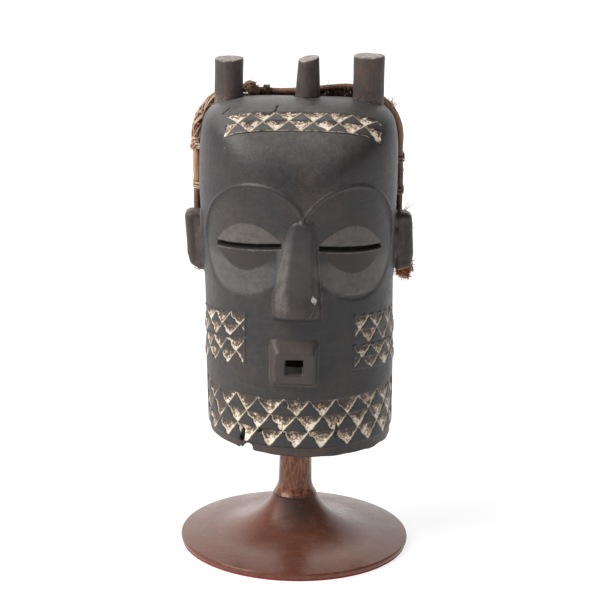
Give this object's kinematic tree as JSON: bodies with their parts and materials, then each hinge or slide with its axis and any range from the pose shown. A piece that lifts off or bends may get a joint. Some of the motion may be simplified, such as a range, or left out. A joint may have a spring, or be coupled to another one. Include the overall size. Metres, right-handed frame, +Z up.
{
  "type": "carved wooden mask on stand",
  "caption": "Deep carved wooden helmet mask with pegged crown, lashed cane rim, round eye sockets and tube mouth, resting on a turned wooden post and trumpet foot.",
  "frame": {"origin": "centre of the stand's underside, on the surface it stands on", "axes": "+Z up along the post, the face looks along -Y, +X to the right of a viewer facing the mask"},
  "size_m": [0.2139, 0.214, 0.466],
  "materials": {
    "mask_wood": "dark stained, dusty satin with worn edges",
    "peg_wood": "weathered grey brown",
    "cane": "reddish brown, rough",
    "fibre_roll": "dark plant fibre",
    "raffia": "dry tan raffia",
    "tuft_fibre": "orange brown frayed fibre",
    "stand_wood": "red brown satin",
    "felt": "dull red felt",
    "steel": "plain",
    "washer_plastic": "smooth"
  },
  "bodies": {
    "stand": {"base_felt": "felt", "stand_base": "stand_wood", "base_screw": "steel", "stand_post": "stand_wood", "pivot_pin": "steel", "pivot_washer": "washer_plastic"},
    "rest": {"rest_block": "stand_wood", "rest_felt": "felt"},
    "mask": {"mask_shell": "mask_wood", "left_peg": "peg_wood", "middle_peg": "peg_wood", "right_peg": "peg_wood", "rim_cane": "cane", "rim_roll": "fibre_roll", "cane_wrap": "raffia", "left_lashings": "raffia", "right_lashings": "raffia", "crown_lashings": "raffia", "crown_knot": "raffia", "left_tuft": "tuft_fibre", "right_tuft": "tuft_fibre"}
  },
  "joints": [
    {"name": "rest_turn", "type": "hinge", "parent": "stand", "child": "rest", "pos_m": [0, 0, 0.38], "axis": [0, 0, 1], "continuous": true},
    {"name": "mask_lift", "type": "slide", "parent": "rest", "child": "mask", "axis": [0, 0, 1], "range_m": [0, 0.32]}
  ]
}
